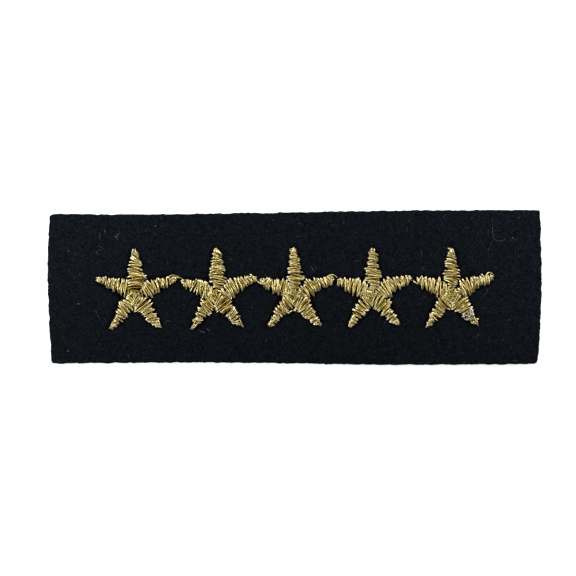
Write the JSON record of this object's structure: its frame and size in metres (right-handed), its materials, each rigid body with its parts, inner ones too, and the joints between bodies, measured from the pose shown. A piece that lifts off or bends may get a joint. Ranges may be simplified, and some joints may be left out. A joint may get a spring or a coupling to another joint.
{
  "type": "embroidered patch",
  "caption": "Dark felt strip with a row of raised satin-stitched stars in gold thread, sewn on by its flat back.",
  "frame": {"origin": "middle of the felt's flat back face", "axes": "+X along the strip's length, +Y towards the stars' top arms, +Z out of the embroidered face"},
  "size_m": [0.1186, 0.0372, 0.0023],
  "materials": {
    "felt": "near-black navy wool-blend felt, matt, with a short nap and a little lint",
    "gold_thread": "pale gold metallised embroidery thread, satin, with bright glints",
    "white_thread": "smooth white bobbin thread with a slight sheen"
  },
  "bodies": {
    "root": {"felt_ground": "felt", "star_1_arm_top": "gold_thread", "star_1_arm_upper_left": "gold_thread", "star_1_arm_lower_left": "gold_thread", "star_1_arm_lower_right": "gold_thread", "star_1_arm_upper_right": "gold_thread", "star_2_arm_top": "gold_thread", "star_2_arm_upper_left": "gold_thread", "star_2_arm_lower_left": "gold_thread", "star_2_arm_lower_right": "gold_thread", "star_2_arm_upper_right": "gold_thread", "star_3_arm_top": "gold_thread", "star_3_arm_upper_left": "gold_thread", "star_3_arm_lower_left": "gold_thread", "star_3_arm_lower_right": "gold_thread", "star_3_arm_upper_right": "gold_thread", "star_4_arm_top": "gold_thread", "star_4_arm_upper_left": "gold_thread", "star_4_arm_lower_left": "gold_thread", "star_4_arm_lower_right": "gold_thread", "star_4_arm_upper_right": "gold_thread", "star_5_arm_top": "gold_thread", "star_5_arm_upper_left": "gold_thread", "star_5_arm_lower_left": "gold_thread", "star_5_arm_lower_right": "gold_thread", "star_5_arm_upper_right": "gold_thread"}
  },
  "joints": []
}
